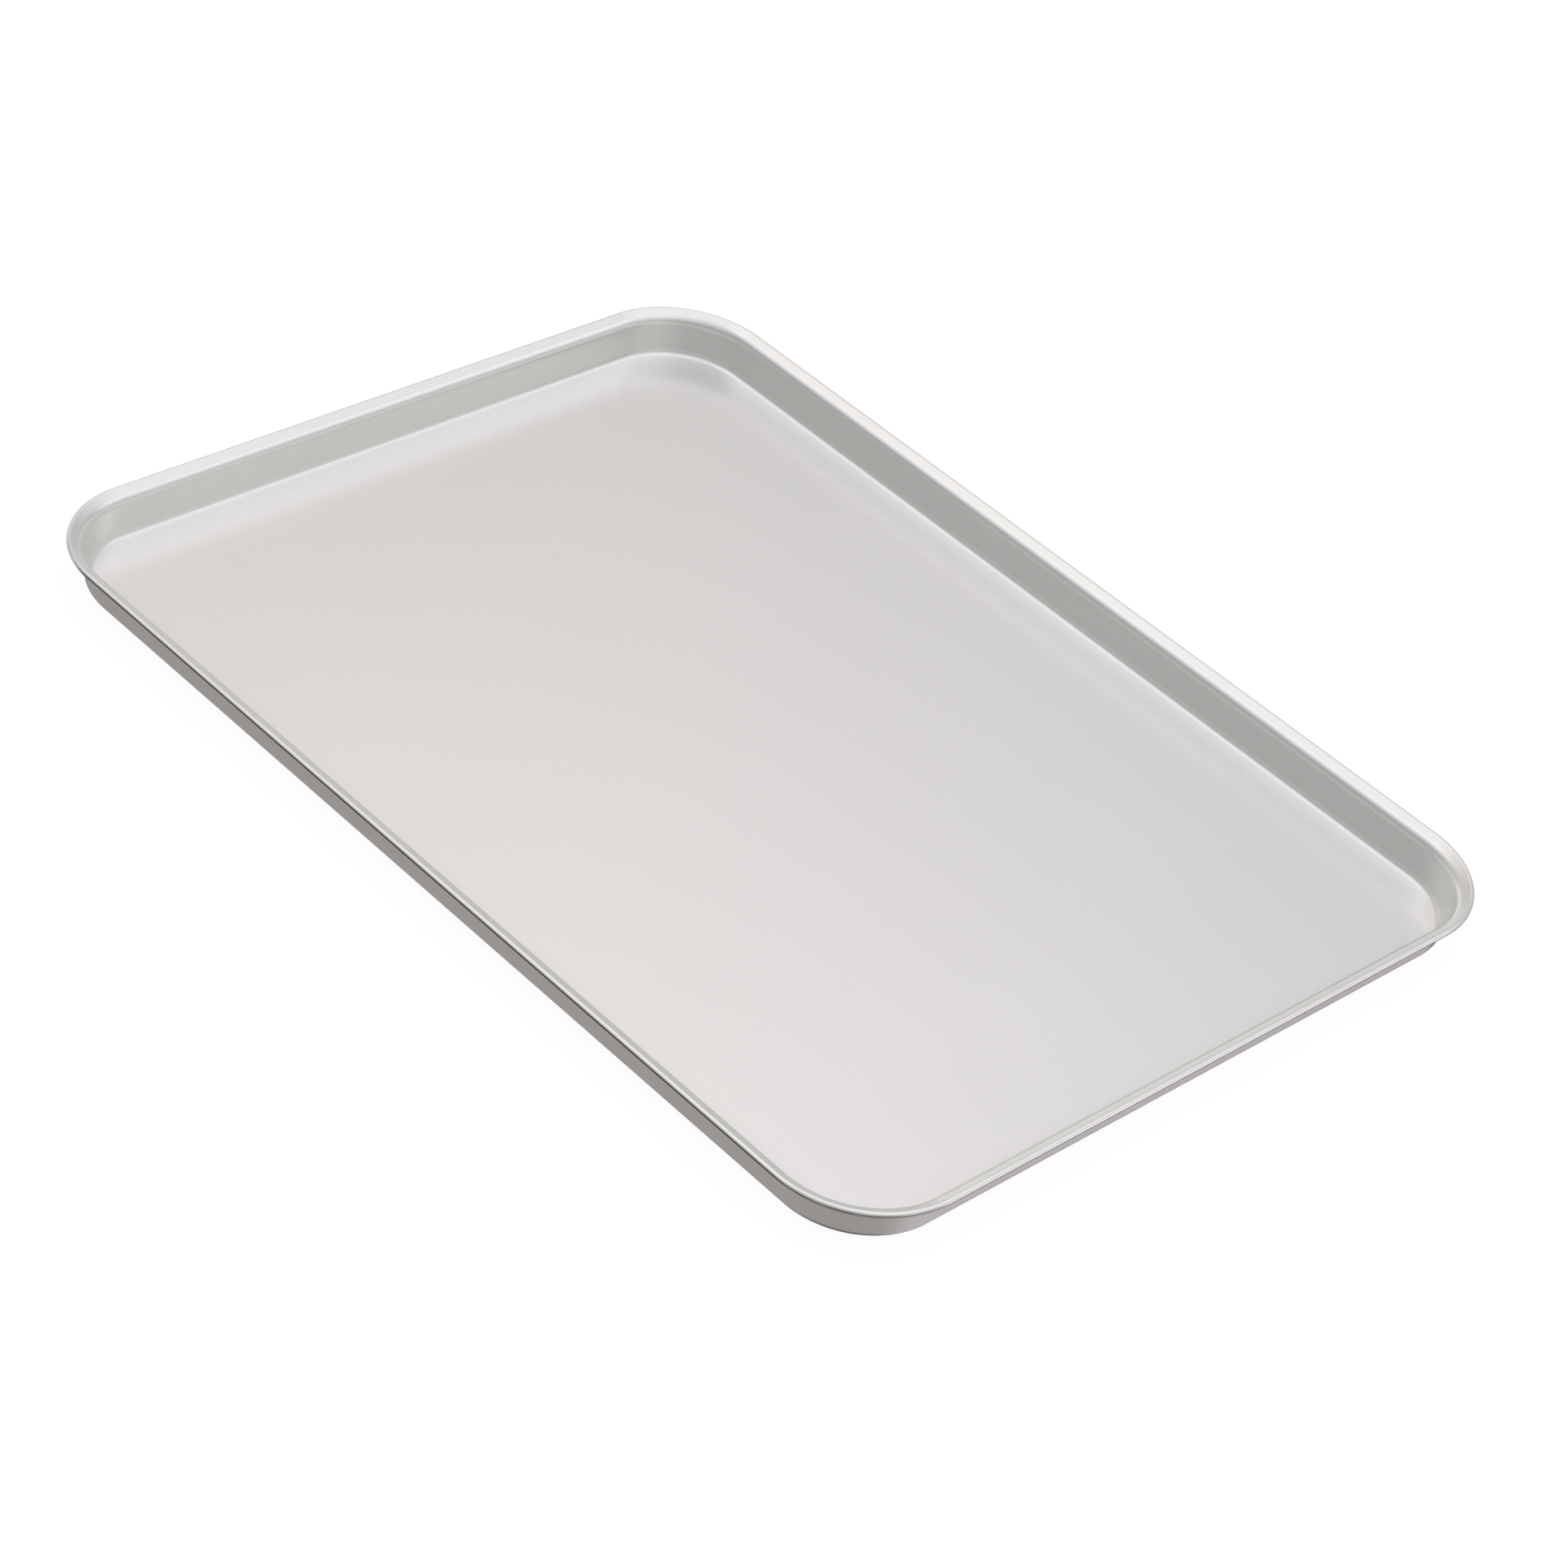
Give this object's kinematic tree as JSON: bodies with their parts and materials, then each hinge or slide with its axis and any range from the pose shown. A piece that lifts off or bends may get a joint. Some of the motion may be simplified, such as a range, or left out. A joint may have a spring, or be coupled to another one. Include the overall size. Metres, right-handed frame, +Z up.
{
  "type": "cookie sheet",
  "caption": "Shallow rectangular baking sheet pressed from thin aluminium, with rounded corners, a leaning wall and a flared rim curled round a wire.",
  "frame": {"origin": "centre of the underside of the floor, on the surface that the sheet rests on", "axes": "+X along the length, +Y along the width, +Z up out of the open top"},
  "size_m": [0.45, 0.332, 0.019],
  "materials": {
    "pan": "matte satin",
    "rim_wire": "drawn wire"
  },
  "bodies": {
    "root": {"pan": "pan", "rim_wire": "rim_wire"}
  },
  "joints": []
}
